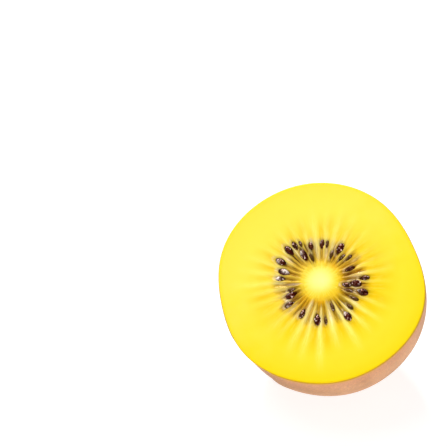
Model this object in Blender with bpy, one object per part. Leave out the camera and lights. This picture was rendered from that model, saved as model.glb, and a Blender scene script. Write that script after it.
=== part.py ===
"""Half of a golden kiwi fruit, cut crosswise, resting on its flank with the cut face up.

Units are metres, +Z is up, and the origin is the centre of the small flat spot that the half
rests on. The empty fruit_axis carries every piece: its local Z points out of the cut face, its
local XY plane is the cut face, and the blossom end lies down its local -Z.

The pieces are the brown skin with the blossom end's nub and dry scar, the golden flesh with its
ray-shaped relief and the seeds that stand in it, and the pale core.
"""
import math
import random

import bmesh
import bpy
from mathutils import Matrix, Vector

MM = 0.001
SEED_OF_DRAWS = 7
SHARP_ANGLE = math.radians(40.0)
SAMPLES = 360

# The half fruit as a whole
FACE_RADIUS = 26.0 * MM
HALF_LENGTH = 34.5 * MM
PROFILE_POWER = 2.05
TIP_SHIFT = Vector((1.6 * MM, 0.2 * MM, 0.0))
OUTLINE_WAVES = (
    # waves round the outline, height, bearing of a crest in degrees
    (2, 1.14 * MM, -47.7),
    (3, 0.27 * MM, -1.0),
    (4, 0.29 * MM, -9.0),
    (5, 0.09 * MM, 15.0),
    (6, 0.11 * MM, 1.0),
)
WAVE_FADE = 0.6

# How it lies
TILT = math.radians(28.0)
FLAT_DEPTH = 0.4 * MM

# Skin
SKIN_THICKNESS = 0.7 * MM
SKIN_DROP = 0.3 * MM
SKIN_COLUMNS = 60
SKIN_ROWS = 16
HOLLOW_ROWS = 11
HOLLOW_OVERSHOOT = 2.0 * MM
TIP_CROWDING = 1.5

# Blossom end: a low nub with a dry scar, ringed by the stubs of the styles
NUB_HEIGHT = 0.6 * MM
NUB_RADIUS = 4.2 * MM
SCAR_DEPTH = 0.5 * MM
SCAR_RADIUS = 2.0 * MM
STUB_COUNT = 9
STUB_SIDES = 6
STUB_RING = 1.9 * MM
STUB_ROOT_RADIUS = 0.32 * MM
STUB_TIP_RADIUS = 0.42 * MM
STUB_LENGTH = 1.2 * MM
STUB_STAND = 0.4 * MM
STUB_SPLAY = math.radians(15.0)

# Flesh
GAP = 0.3 * MM
FLESH_EDGE = 0.5 * MM
FLESH_ROWS = 11
TROUGH_DEPTH = 0.5 * MM
TROUGH_START = 5.0 * MM
TROUGH_END = 15.5 * MM
# Nominal distances from the core's centre, in millimetres, of the rows of the cut face
FACE_REACHES = (4.6, 5.4, 6.6, 8.0, 9.5, 11.0, 12.6, 14.5, 17.5, 21.0)

# Core
CORE_CENTRE = Vector((0.4 * MM, 0.0, 0.0))
CORE_RADIUS = 4.3 * MM
CORE_LENGTH = 25.0 * MM
CORE_TAPER = 0.45
CORE_DOME = 0.2 * MM
CORE_COLUMNS = 36
CORE_ROWS = 8

# Seeds, by kind: length, width, how far one stands out of the flesh, and where they lie as
# (bearing in degrees, reach in millimetres) about the core
PLUMP_SEEDS = (3.1 * MM, 1.7 * MM, 0.70 * MM, (
    (-37, 11.2), (1, 10.6), (13, 8.5), (80, 9.8), (138, 8.5), (150, 11.8), (167, 11.5), (179, 9.7),
    (221, 7.9), (283, 9.8),
))
PLAIN_SEEDS = (2.5 * MM, 1.2 * MM, 0.50 * MM, (
    (8, 6.2), (21, 10.6), (42, 7.7), (107, 10.1), (123, 10.0), (141, 11.9), (190, 10.1), (234, 9.4),
    (259, 9.2),
))
SLIM_SEEDS = (2.2 * MM, 0.9 * MM, 0.35 * MM, (
    (-49, 7.2), (-26, 9.8), (-12, 9.5), (-3, 7.2), (60, 9.1), (69, 8.1), (89, 7.7), (100, 10.1),
    (128, 7.0), (134, 11.6), (211, 7.3), (295, 10.3),
))
SEED_SPREAD = 0.06
SEED_POINT = 0.45
SEED_SEGMENTS = 8
SEED_RINGS = 6
LOCULE_PITCH = 9.8
LOCULE_MERGE = 5.5

# Base colour and roughness
SKIN_LOOK = ((0.46, 0.24, 0.10, 1.0), 0.62)
FLESH_LOOK = ((1.0, 0.80, 0.05, 1.0), 0.35)
CORE_LOOK = ((1.0, 0.93, 0.36, 1.0), 0.40)
SEED_LOOK = ((0.045, 0.012, 0.008, 1.0), 0.25)


def clear_scene():
    for item in list(bpy.data.objects):
        bpy.data.objects.remove(item, do_unlink=True)


def material(name, look):
    color, roughness = look
    made = bpy.data.materials.new(name)
    made.use_nodes = True
    made.diffuse_color = color
    shader = made.node_tree.nodes["Principled BSDF"]
    shader.inputs["Base Color"].default_value = color
    shader.inputs["Roughness"].default_value = roughness
    shader.inputs["Metallic"].default_value = 0.0
    return made


def bearings_evenly(count):
    return [math.tau * i / count for i in range(count)]


# The shape of the half fruit

def outline_radius(bearing, depth):
    """Radius of the section at a share of the half's length, without any inset."""
    waves = sum(height * math.cos(count * (bearing - math.radians(crest)))
                for count, height, crest in OUTLINE_WAVES)
    return FACE_RADIUS + waves * (1.0 - WAVE_FADE * depth ** 2)


def flank_point(bearing, slope, inset):
    """Point of the surface inset from the skin; slope is 0 at the cut face and pi/2 at the tip."""
    depth = math.sin(slope) ** (2.0 / PROFILE_POWER)
    radius = (outline_radius(bearing, depth) - inset) * math.cos(slope)
    across = Vector((radius * math.cos(bearing), radius * math.sin(bearing), 0.0))
    return across + TIP_SHIFT * depth ** 2 - Vector((0.0, 0.0, (HALF_LENGTH - inset) * depth))


def slope_below_face(drop):
    """Slope at which the surface lies a given distance below the cut face."""
    return math.asin((drop / HALF_LENGTH) ** (PROFILE_POWER / 2.0))


def slopes(first, rows):
    """Slopes of the rows from the first one down to the tip, closer together near the tip."""
    span = math.pi / 2.0 - first
    return [first + span * (1.0 - (1.0 - i / rows) ** TIP_CROWDING) for i in range(rows + 1)]


def blossom_end(radius):
    """How far the skin stands out past the plain tip: the nub, less the scar's hollow."""
    nub = NUB_HEIGHT * math.exp(-(radius / NUB_RADIUS) ** 2)
    scar = SCAR_DEPTH * math.exp(-(radius / SCAR_RADIUS) ** 4)
    return nub - scar


def fruit_axis():
    """The empty that carries the fruit, placed so that the flat spot's centre is the origin."""
    turn = Matrix.Rotation(TILT, 4, "X")
    samples = [turn @ flank_point(bearing, slope, 0.0)
               for bearing in bearings_evenly(SAMPLES) for slope in slopes(0.0, SAMPLES)]
    lowest = min(samples, key=lambda point: point.z)
    axis = bpy.data.objects.new("fruit_axis", None)
    axis.empty_display_size = HALF_LENGTH
    axis.location = -lowest - Vector((0.0, 0.0, FLAT_DEPTH))
    axis.rotation_euler = (TILT, 0.0, 0.0)
    bpy.context.scene.collection.objects.link(axis)
    bpy.context.view_layer.update()
    return axis


# Building meshes from rows of points

def join_rows(bm, rows):
    """Quads between closed rows of points; returns the rows of vertices."""
    rings = [[bm.verts.new(point) for point in row] for row in rows]
    for upper, lower in zip(rings, rings[1:]):
        for i, corner in enumerate(upper):
            following = (i + 1) % len(upper)
            bm.faces.new((corner, lower[i], lower[following], upper[following]))
    return rings


def close_row(bm, ring, point):
    """Fan of triangles from a row to one point."""
    centre = bm.verts.new(point)
    for i, corner in enumerate(ring):
        bm.faces.new((corner, centre, ring[(i + 1) % len(ring)]))


def cut_flat(bm, axis, height):
    """Cut away what lies below a height above the ground, and close the cut."""
    into_axis = axis.matrix_world.inverted()
    ground_point = into_axis @ Vector((0.0, 0.0, height))
    down = into_axis.to_3x3() @ Vector((0.0, 0.0, -1.0))
    everything = bm.verts[:] + bm.edges[:] + bm.faces[:]
    cut = bmesh.ops.bisect_plane(bm, geom=everything, plane_co=ground_point, plane_no=down, clear_outer=True)
    rim = [part for part in cut["geom_cut"] if isinstance(part, bmesh.types.BMEdge)]
    bmesh.ops.holes_fill(bm, edges=rim)


def finish(bm, name, axis, looks):
    """Turn a mesh into a smooth-shaded object under the fruit's axis."""
    bmesh.ops.recalc_face_normals(bm, faces=bm.faces)
    mesh = bpy.data.meshes.new(name)
    bm.to_mesh(mesh)
    bm.free()
    mesh.shade_smooth()
    mesh.set_sharp_from_angle(angle=SHARP_ANGLE)
    for look in looks:
        mesh.materials.append(look)
    made = bpy.data.objects.new(name, mesh)
    made.parent = axis
    bpy.context.scene.collection.objects.link(made)
    return made


def apply_modifiers(target):
    """Replace an object's mesh by its evaluated one, and drop its modifiers."""
    graph = bpy.context.evaluated_depsgraph_get()
    result = bpy.data.meshes.new_from_object(target.evaluated_get(graph))
    target.modifiers.clear()
    target.data = result


def fuse(target, repeats):
    """Join small repeats into the piece they grow from."""
    group = bpy.data.collections.new(target.name + "_repeats")
    bpy.context.scene.collection.children.link(group)
    for item in repeats:
        bpy.context.scene.collection.objects.unlink(item)
        group.objects.link(item)
    union = target.modifiers.new("fuse_repeats", "BOOLEAN")
    union.operation = "UNION"
    union.operand_type = "COLLECTION"
    union.collection = group
    union.solver = "EXACT"
    union.material_mode = "TRANSFER"
    apply_modifiers(target)
    for item in list(group.objects):
        bpy.data.objects.remove(item, do_unlink=True)
    bpy.data.collections.remove(group)


# Skin

def skin_shape(axis, look):
    """The outside of the skin as a solid half, with the nub and scar at its blossom end."""
    rows = []
    for slope in slopes(slope_below_face(SKIN_DROP), SKIN_ROWS)[:-1]:
        row = [flank_point(bearing, slope, 0.0) for bearing in bearings_evenly(SKIN_COLUMNS)]
        raised = blossom_end(FACE_RADIUS * math.cos(slope))
        rows.append([point - Vector((0.0, 0.0, raised)) for point in row])
    bm = bmesh.new()
    rings = join_rows(bm, rows)
    bm.faces.new(rings[0])
    close_row(bm, rings[-1], flank_point(0.0, math.pi / 2.0, 0.0) - Vector((0.0, 0.0, blossom_end(0.0))))
    cut_flat(bm, axis, 0.0)
    return finish(bm, "skin", axis, [look])


def skin_hollow(axis):
    """Cutter for the inside of the skin, open at the cut face."""
    bearings = bearings_evenly(SKIN_COLUMNS)
    rows = [[flank_point(bearing, slope, SKIN_THICKNESS) for bearing in bearings]
            for slope in slopes(0.0, HOLLOW_ROWS)[:-1]]
    rows.insert(0, [point + Vector((0.0, 0.0, HOLLOW_OVERSHOOT)) for point in rows[0]])
    bm = bmesh.new()
    rings = join_rows(bm, rows)
    bm.faces.new(rings[0])
    close_row(bm, rings[-1], flank_point(0.0, math.pi / 2.0, SKIN_THICKNESS))
    cut_flat(bm, axis, SKIN_THICKNESS)
    cutter = finish(bm, "skin_hollow", axis, [])
    cutter.hide_render = True
    cutter.display_type = "WIRE"
    return cutter


def style_stubs(axis, look):
    """The dry stubs of the styles, in a ring round the scar."""
    tip = flank_point(0.0, math.pi / 2.0, 0.0)
    middle = tip - Vector((0.0, 0.0, blossom_end(STUB_RING) + STUB_STAND - STUB_LENGTH / 2.0))
    stubs = []
    for bearing in bearings_evenly(STUB_COUNT):
        bm = bmesh.new()
        bmesh.ops.create_cone(bm, cap_ends=True, segments=STUB_SIDES, radius1=STUB_TIP_RADIUS,
                              radius2=STUB_ROOT_RADIUS, depth=STUB_LENGTH)
        splay = Matrix.Rotation(bearing, 4, "Z") @ Matrix.Translation((STUB_RING, 0.0, 0.0))
        splay = Matrix.Translation(middle) @ splay @ Matrix.Rotation(-STUB_SPLAY, 4, "Y")
        bmesh.ops.transform(bm, matrix=splay, verts=bm.verts)
        stubs.append(finish(bm, "style_stub", axis, [look]))
    return stubs


def build_skin(axis):
    look = material("skin", SKIN_LOOK)
    skin = skin_shape(axis, look)
    hollow = skin.modifiers.new("hollow", "BOOLEAN")
    hollow.operation = "DIFFERENCE"
    hollow.object = skin_hollow(axis)
    hollow.solver = "EXACT"
    bpy.context.view_layer.update()
    cutter = hollow.object
    apply_modifiers(skin)
    bpy.data.objects.remove(cutter, do_unlink=True)
    fuse(skin, style_stubs(axis, look))


# Flesh and seeds

def all_seeds():
    """Every seed as (bearing in degrees, reach, length, width, stand), sorted by bearing."""
    draws = random.Random(SEED_OF_DRAWS)
    seeds = []
    for length, width, stand, places in (PLUMP_SEEDS, PLAIN_SEEDS, SLIM_SEEDS):
        for bearing, reach in places:
            size = 1.0 + draws.uniform(-SEED_SPREAD, SEED_SPREAD)
            seeds.append((bearing, reach * MM, length * size, width / size, stand))
    return sorted(seeds)


def locule_bearings():
    """Middle bearings of the locules, in degrees.

    Each seed, or each close group of them, has a locule to itself. Wider spaces between them
    are shared out into empty locules of about the same pitch.
    """
    groups = []
    for bearing, *_ in all_seeds():
        if groups and bearing - groups[-1][-1] < LOCULE_MERGE:
            groups[-1].append(bearing)
        else:
            groups.append([bearing])
    middles = [sum(group) / len(group) for group in groups]
    found = []
    for start, end in zip(middles, middles[1:] + [middles[0] + 360.0]):
        parts = max(1, round((end - start) / LOCULE_PITCH))
        found += [start + (end - start) * i / parts for i in range(parts)]
    return found


def flesh_columns():
    """Columns of the flesh as (bearing, share): share is 1 in a locule and 0 on a dividing wall."""
    middles = locule_bearings()
    columns = []
    for start, end in zip(middles, middles[1:] + [middles[0] + 360.0]):
        columns.append((math.radians(start), 1.0))
        columns.append((math.radians((start + end) / 2.0), 0.0))
    return columns


def trough(reach, share):
    """Depth of the hollow over a locule, deepest in the ring of seeds."""
    along = (reach - TROUGH_START) / (TROUGH_END - TROUGH_START)
    if not 0.0 < along < 1.0:
        return 0.0
    return TROUGH_DEPTH * share * math.sin(math.pi * math.sqrt(along)) ** 2


def face_point(bearing, share, reach):
    """Point of the cut face at a nominal reach, eased from round at the core to the outline."""
    edge = outline_radius(bearing, 0.0) - SKIN_THICKNESS - GAP - FLESH_EDGE
    inner = FACE_REACHES[0] * MM
    nominal_edge = FACE_RADIUS - SKIN_THICKNESS - GAP - FLESH_EDGE
    along = (reach - inner) / (nominal_edge - inner)
    radius = inner + (edge - inner) * along
    centre = CORE_CENTRE * (1.0 - along)
    return centre + Vector((radius * math.cos(bearing), radius * math.sin(bearing), -trough(reach, share)))


def spindle_rows(bearings, radius, length, rows):
    """Rows of the core's flank, from just below the cut face down to its blunt lower end."""
    made = []
    for i in range(1, rows + 1):
        along = math.sin(math.pi / 2.0 * i / (rows + 0.5))
        width = radius * (1.0 - CORE_TAPER * along) * math.sqrt(1.0 - along ** 6)
        depth = length * along / HALF_LENGTH
        centre = CORE_CENTRE + TIP_SHIFT * depth ** 2 - Vector((0.0, 0.0, length * along))
        made.append([centre + Vector((width * math.cos(b), width * math.sin(b), 0.0)) for b in bearings])
    return made


def spindle_end(length):
    """The lowest point of the core's flank."""
    depth = length / HALF_LENGTH
    return CORE_CENTRE + TIP_SHIFT * depth ** 2 - Vector((0.0, 0.0, length))


def flesh_shape(axis, looks):
    """The flesh from the well's bottom up over the cut face, round its edge and down the flank."""
    columns = flesh_columns()
    bearings = [bearing for bearing, _ in columns]
    inset = SKIN_THICKNESS + GAP
    rows = spindle_rows(bearings, CORE_RADIUS + GAP, CORE_LENGTH + GAP, CORE_ROWS)[::-1]
    for reach in FACE_REACHES:
        rows.append([face_point(bearing, share, reach * MM) for bearing, share in columns])
    edge_reach = FACE_RADIUS - inset - FLESH_EDGE
    rows.append([face_point(bearing, share, edge_reach) for bearing, share in columns])
    for slope in slopes(slope_below_face(FLESH_EDGE), FLESH_ROWS)[:-1]:
        rows.append([flank_point(bearing, slope, inset) for bearing in bearings])
    bm = bmesh.new()
    rings = join_rows(bm, rows)
    close_row(bm, rings[0], spindle_end(CORE_LENGTH + GAP))
    close_row(bm, rings[-1], flank_point(0.0, math.pi / 2.0, inset))
    cut_flat(bm, axis, inset)
    return finish(bm, "flesh", axis, looks)


def seed_object(axis, look, seed):
    """One seed: an almond with its point towards the core, half sunk in the flesh."""
    bearing, reach, length, width, stand = seed
    bm = bmesh.new()
    bmesh.ops.create_uvsphere(bm, u_segments=SEED_SEGMENTS, v_segments=SEED_RINGS, radius=0.5)
    bmesh.ops.rotate(bm, verts=bm.verts, matrix=Matrix.Rotation(math.pi / 2.0, 3, "Y"))
    for vert in bm.verts:
        narrowing = 1.0 - SEED_POINT * max(0.0, -2.0 * vert.co.x) ** 1.5
        vert.co = Vector((vert.co.x * length, vert.co.y * width * narrowing, vert.co.z * width * narrowing))
    turn = Matrix.Rotation(math.radians(bearing), 4, "Z")
    lift = stand - width / 2.0
    place = Matrix.Translation(CORE_CENTRE) @ turn @ Matrix.Translation((reach, 0.0, lift))
    bmesh.ops.transform(bm, matrix=place, verts=bm.verts)
    return finish(bm, "seed", axis, [look])


def build_flesh(axis):
    flesh_look = material("flesh", FLESH_LOOK)
    seed_look = material("seed", SEED_LOOK)
    flesh = flesh_shape(axis, [flesh_look])
    fuse(flesh, [seed_object(axis, seed_look, seed) for seed in all_seeds()])


# Core

def build_core(axis):
    """The pale core, with a low dome at the cut face and a blunt end near the blossom end."""
    bearings = bearings_evenly(CORE_COLUMNS)
    rows = []
    for share in (0.5, 1.0):
        centre = CORE_CENTRE + Vector((0.0, 0.0, CORE_DOME * (1.0 - share ** 2)))
        radius = CORE_RADIUS * share
        rows.append([centre + Vector((radius * math.cos(b), radius * math.sin(b), 0.0)) for b in bearings])
    rows += spindle_rows(bearings, CORE_RADIUS, CORE_LENGTH, CORE_ROWS)
    bm = bmesh.new()
    rings = join_rows(bm, rows)
    close_row(bm, rings[0], CORE_CENTRE + Vector((0.0, 0.0, CORE_DOME)))
    close_row(bm, rings[-1], spindle_end(CORE_LENGTH))
    finish(bm, "core", axis, [material("core", CORE_LOOK)])


def main():
    clear_scene()
    axis = fruit_axis()
    build_skin(axis)
    build_flesh(axis)
    build_core(axis)


main()
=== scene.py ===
"""The looks of half a golden kiwi fruit, cut crosswise and resting on its flank.

The pieces are modelled in the fruit's own frame, in which +Z points out of the cut face and the
cut face is the XY plane, and are then turned and moved into the row's frame. Metres, +Z up.
"""

import math

import bpy
import numpy as np
from mathutils import Matrix, Vector


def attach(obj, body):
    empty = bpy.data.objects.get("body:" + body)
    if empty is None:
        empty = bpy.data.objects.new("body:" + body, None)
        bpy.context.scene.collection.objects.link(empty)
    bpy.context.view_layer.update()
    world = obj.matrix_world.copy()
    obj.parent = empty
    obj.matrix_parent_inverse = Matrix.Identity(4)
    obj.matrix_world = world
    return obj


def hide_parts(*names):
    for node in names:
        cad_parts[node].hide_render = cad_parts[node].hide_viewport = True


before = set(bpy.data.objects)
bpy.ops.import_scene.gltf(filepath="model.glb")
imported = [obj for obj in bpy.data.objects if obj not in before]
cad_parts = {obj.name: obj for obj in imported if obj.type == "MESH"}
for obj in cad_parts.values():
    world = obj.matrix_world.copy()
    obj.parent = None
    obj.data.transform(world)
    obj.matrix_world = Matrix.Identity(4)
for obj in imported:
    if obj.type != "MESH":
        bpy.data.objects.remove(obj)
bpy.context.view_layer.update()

MM = 0.001
TAU = math.tau
QUARTER_TURN = math.pi / 2.0
SHARP_ANGLE = math.radians(50.0)

# The half fruit, with the values of the CAD source
FACE_RADIUS = 26.0 * MM
HALF_LENGTH = 34.5 * MM
PROFILE_POWER = 2.05
TIP_SHIFT = np.array((1.6 * MM, 0.2 * MM))
OUTLINE_WAVES = (
    # waves round the outline, height, bearing of a crest in degrees
    (2, 1.14 * MM, -47.7),
    (3, 0.27 * MM, -1.0),
    (4, 0.29 * MM, -9.0),
    (5, 0.09 * MM, 15.0),
    (6, 0.11 * MM, 1.0),
)
WAVE_FADE = 0.6
TILT = math.radians(28.0)
FLAT_DEPTH = 0.4 * MM
CORE_CENTRE = np.array((0.4 * MM, 0.0))
CORE_RADIUS = 4.3 * MM
CORE_LENGTH = 25.0 * MM
CORE_TAPER = 0.45
TROUGH_START = 5.0 * MM
TROUGH_END = 15.5 * MM
LOCULE_PITCH = 9.8
LOCULE_MERGE = 5.5
NUB_HEIGHT = 0.6 * MM
NUB_RADIUS = 4.2 * MM
SCAR_DEPTH = 0.5 * MM
SCAR_RADIUS = 2.0 * MM

# The tuck that draws the flank in under the cut face at the lower left: its depth, the bearings
# in degrees where it starts, is full, fades and ends, and the shares of the half's length between
# which it goes back to the plain flank
TUCK = 0.85 * MM
TUCK_BEARINGS = (-132.0, -116.0, -107.0, -98.0)
TUCK_FADE = (0.09, 0.6)

# Seeds, by kind: length, width, stand out of the flesh, how far sunk in colour from 0 to 1, and
# (bearing in degrees, reach in millimetres) about the core
PLUMP_SEEDS = (3.1 * MM, 1.75 * MM, 0.62 * MM, 0.0, (
    (-37, 11.2), (1, 10.6), (13, 8.5), (80, 9.8), (138, 8.5), (150, 11.8), (167, 11.5), (179, 9.7),
    (221, 7.9), (283, 9.8),
))
PLAIN_SEEDS = (2.5 * MM, 1.25 * MM, 0.45 * MM, 0.15, (
    (8, 6.2), (21, 10.6), (42, 7.7), (107, 10.1), (123, 10.0), (141, 11.9), (190, 10.1), (234, 9.4),
    (259, 9.2),
))
SLIM_SEEDS = (2.2 * MM, 0.9 * MM, 0.25 * MM, 0.6, (
    (-49, 7.2), (-26, 9.8), (-12, 9.5), (-3, 7.2), (60, 9.1), (69, 8.1), (89, 7.7), (100, 10.1),
    (128, 7.0), (134, 11.6), (211, 7.3), (295, 10.3),
))
# How much the seeds vary at most: in size as a share, and in yaw and pitch in degrees
SEED_SPREAD = 0.06
SEED_YAW = 8.0
SEED_PITCH = 6.0

draws = np.random.default_rng(11)


# Helpers for shapes

def outline_radius(bearing, depth):
    """Radius of the section at a share of the half's length, without any inset."""
    waves = sum(height * np.cos(count * (bearing - math.radians(crest)))
                for count, height, crest in OUTLINE_WAVES)
    return FACE_RADIUS + waves * (1.0 - WAVE_FADE * depth ** 2)


def points_at(radius, bearing, height, centre=(0.0, 0.0)):
    """Points by radius and bearing about a centre in the XY plane, and by height."""
    x = centre[0] + radius * np.cos(bearing)
    y = centre[1] + radius * np.sin(bearing)
    return np.stack(np.broadcast_arrays(x, y, height), axis=-1)


def flank(bearing, slope, inset):
    """Points of the surface inset from the skin; slope is 0 at the cut face and pi/2 at the tip."""
    depth = np.sin(slope) ** (2.0 / PROFILE_POWER)
    tuck = face_tuck(bearing) * (1.0 - ease(depth, *TUCK_FADE))
    radius = (outline_radius(bearing, depth) - inset - tuck) * np.cos(slope)
    centre = [shift * depth ** 2 for shift in TIP_SHIFT]
    return points_at(radius, bearing, -(HALF_LENGTH - inset) * depth, centre)


def spindle(share, radius, bearing, fullness=1.0):
    """Rows round the leaning, tapering core; share is 0 at the cut face and 1 at its tip."""
    width = radius * (1.0 - CORE_TAPER * share) * np.sqrt(1.0 - fullness * share ** 6)
    depth = CORE_LENGTH / HALF_LENGTH * share
    centre = [shift * depth ** 2 + middle for shift, middle in zip(TIP_SHIFT, CORE_CENTRE)]
    return points_at(width, bearing, -CORE_LENGTH * share, centre)


def core_reach(points):
    """Distance from the core's middle, as seen from above the cut face."""
    return np.hypot(points[..., 0] - CORE_CENTRE[0], points[..., 1] - CORE_CENTRE[1])


def bearing_gap(bearing, middle):
    """Turn from middle to bearing, between minus and plus half a turn."""
    return (bearing - middle + math.pi) % TAU - math.pi


def face_tuck(bearing):
    """How far the flank is drawn in under the cut face on a bearing."""
    return TUCK * between(np.degrees(bearing_gap(bearing, 0.0)), *TUCK_BEARINGS)


def slope_below_face(drop):
    """The flank's slope at a depth below the cut face."""
    return math.asin((drop / HALF_LENGTH) ** (PROFILE_POWER / 2.0))


def evenly(count):
    return TAU * np.arange(count) / count


def bell(value, width):
    return np.exp(-(value / width) ** 2)


def ease(value, start, end):
    """Smooth step from 0 at start to 1 at end."""
    along = np.clip((value - start) / (end - start), 0.0, 1.0)
    return along * along * (3.0 - 2.0 * along)


def between(value, start, full, fade, end):
    """Smooth rise from 0 at start to 1 at full, and fall from fade back to 0 at end."""
    return ease(value, start, full) * (1.0 - ease(value, fade, end))


TURN = np.array(Matrix.Rotation(TILT, 3, "X"))
SCAN_STEPS = 360


def face_centre():
    """Where the cut face's centre lies, with the flat spot's centre at the origin."""
    slopes = np.linspace(0.0, QUARTER_TURN, SCAN_STEPS + 1)
    bearing, slope = np.meshgrid(evenly(SCAN_STEPS), slopes)
    turned = flank(bearing, slope, 0.0).reshape(-1, 3) @ TURN.T
    lowest = turned[np.argmin(turned[:, 2])]
    return -lowest - (0.0, 0.0, FLAT_DEPTH)


FACE_CENTRE = face_centre()


def place(points):
    """From the fruit's frame to the row's frame, with the flat spot pressed level."""
    placed = points @ TURN.T + FACE_CENTRE
    placed[:, 2] = np.maximum(placed[:, 2], 0.0)
    return placed


def new_mesh(name, points, faces):
    mesh = bpy.data.meshes.new(name)
    mesh.from_pydata(place(points).tolist(), [], faces)
    return mesh


def set_mask(mesh, name, values):
    attribute = mesh.attributes.new(name, "FLOAT", "POINT")
    attribute.data.foreach_set("value", np.asarray(values, np.float32))


def set_vectors(mesh, name, values):
    attribute = mesh.attributes.new(name, "FLOAT_VECTOR", "POINT")
    attribute.data.foreach_set("vector", values.astype(np.float32).reshape(-1))


def add_object(name, data):
    made = bpy.data.objects.new(name, data)
    bpy.context.scene.collection.objects.link(made)
    return made


def add_piece(name, mesh, material, node):
    mesh.shade_smooth()
    mesh.set_sharp_from_angle(angle=SHARP_ANGLE)
    mesh.materials.append(material)
    piece = add_object(name, mesh)
    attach(piece, "root")
    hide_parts(node)


def grid_piece(name, points, tips, masks, material, node):
    """A piece from closed rows of points, a tip beyond each end, and masks as attributes."""
    rows, columns, _ = points.shape
    verts = np.vstack([points.reshape(-1, 3), tips])
    index = np.arange(rows * columns).reshape(rows, columns)
    upper, lower = index[:-1], index[1:]
    quads = np.stack([upper, lower, np.roll(lower, -1, 1), np.roll(upper, -1, 1)], axis=-1)
    faces = quads.reshape(-1, 4).tolist()
    ends = (index[0][::-1], index[-1])
    for tip, ring in enumerate(ends, start=rows * columns):
        faces += [(int(a), tip, int(b)) for a, b in zip(ring, np.roll(ring, -1))]
    mesh = new_mesh(name, verts, faces)
    for key, mask in masks.items():
        values = np.broadcast_to(mask, (rows, columns)).reshape(-1)
        set_mask(mesh, key, np.append(values, [values[ring[0]] for ring in ends]))
    set_vectors(mesh, "fruit", verts / MM)
    far = core_reach(verts)[:, None]
    way = (verts[:, :2] - CORE_CENTRE) / np.maximum(far, 1e-9)
    set_vectors(mesh, "polar", np.hstack([way, far / MM]))
    add_piece(name, mesh, material, node)


# Helpers for materials

def color(red, green, blue):
    """Linear colour, with alpha, from the 0 to 255 values of a screen."""
    def linear(value):
        value /= 255.0
        return value / 12.92 if value <= 0.04045 else ((value + 0.055) / 1.055) ** 2.4
    return (linear(red), linear(green), linear(blue), 1.0)


class Nodes:
    """A material's node tree, with short names for the nodes used here."""

    def __init__(self, name):
        self.material = bpy.data.materials.new(name)
        self.material.use_nodes = True
        self.tree = self.material.node_tree
        self.shader = self.tree.nodes["Principled BSDF"]

    def node(self, kind, **settings):
        made = self.tree.nodes.new(kind)
        for key, value in settings.items():
            setattr(made, key, value)
        return made

    def feed(self, socket, value):
        if isinstance(value, bpy.types.NodeSocket):
            self.tree.links.new(value, socket)
        else:
            socket.default_value = value

    def attribute(self, name, output="Fac"):
        return self.node("ShaderNodeAttribute", attribute_name=name).outputs[output]

    def math(self, operation, a, b):
        made = self.node("ShaderNodeMath", operation=operation)
        self.feed(made.inputs[0], a)
        self.feed(made.inputs[1], b)
        return made.outputs[0]

    def add(self, a, b):
        return self.math("ADD", a, b)

    def times(self, first, *others):
        """Product of sockets and numbers."""
        for other in others:
            first = self.math("MULTIPLY", first, other)
        return first

    def rest(self, share):
        """What a share leaves of 1."""
        return self.math("SUBTRACT", 1.0, share)

    def swing(self, noise, amount):
        """A noise's distance from its middle, times an amount."""
        return self.times(self.math("SUBTRACT", noise, 0.5), amount)

    def vector_math(self, operation, a, b):
        made = self.node("ShaderNodeVectorMath", operation=operation)
        self.feed(made.inputs[0], a)
        self.feed(made.inputs[1], b)
        return made.outputs

    def scaled(self, vector, scale):
        return self.vector_math("MULTIPLY", vector, scale)["Vector"]

    def along(self, vector, direction):
        return self.vector_math("DOT_PRODUCT", vector, direction)["Value"]

    def noise(self, vector, scale, detail=2.0, roughness=0.5):
        made = self.node("ShaderNodeTexNoise")
        self.feed(made.inputs["Vector"], vector)
        self.feed(made.inputs["Scale"], scale)
        self.feed(made.inputs["Detail"], detail)
        self.feed(made.inputs["Roughness"], roughness)
        return made.outputs["Fac"]

    def cells(self, vector, scale):
        """Distance from the nearest of many scattered points."""
        made = self.node("ShaderNodeTexVoronoi")
        self.feed(made.inputs["Vector"], vector)
        self.feed(made.inputs["Scale"], scale)
        return made.outputs["Distance"]

    def ramp(self, factor, *stops):
        """Colour ramp; stops are (place, colour), or (place, number) for a grey."""
        made = self.node("ShaderNodeValToRGB")
        elements = made.color_ramp.elements
        while len(elements) < len(stops):
            elements.new(0.5)
        for element, (position, value) in zip(elements, stops):
            element.position = position
            element.color = value if isinstance(value, tuple) else (value, value, value, 1.0)
        self.feed(made.inputs[0], factor)
        return made.outputs[0]

    def mix(self, factor, a, b):
        made = self.node("ShaderNodeMix", data_type="RGBA")
        self.feed(made.inputs[0], factor)
        self.feed(made.inputs[6], a)
        self.feed(made.inputs[7], b)
        return made.outputs[2]

    def layered(self, base, layers):
        """Colours laid over a base in turn, each as strongly as the product of its factors."""
        for colour, *factors in layers:
            base = self.mix(self.times(*factors), base, colour)
        return base

    def bump(self, height, strength, distance):
        made = self.node("ShaderNodeBump")
        self.feed(made.inputs["Strength"], strength)
        self.feed(made.inputs["Distance"], distance)
        self.feed(made.inputs["Height"], height)
        return made.outputs["Normal"]

    def surface(self, **values):
        """Feed the shader's sockets; underscores in the names stand for spaces."""
        for key, value in values.items():
            self.feed(self.shader.inputs[key.replace("_", " ")], value)
        return self.material


# Seeds and locules: where they lie

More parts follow.
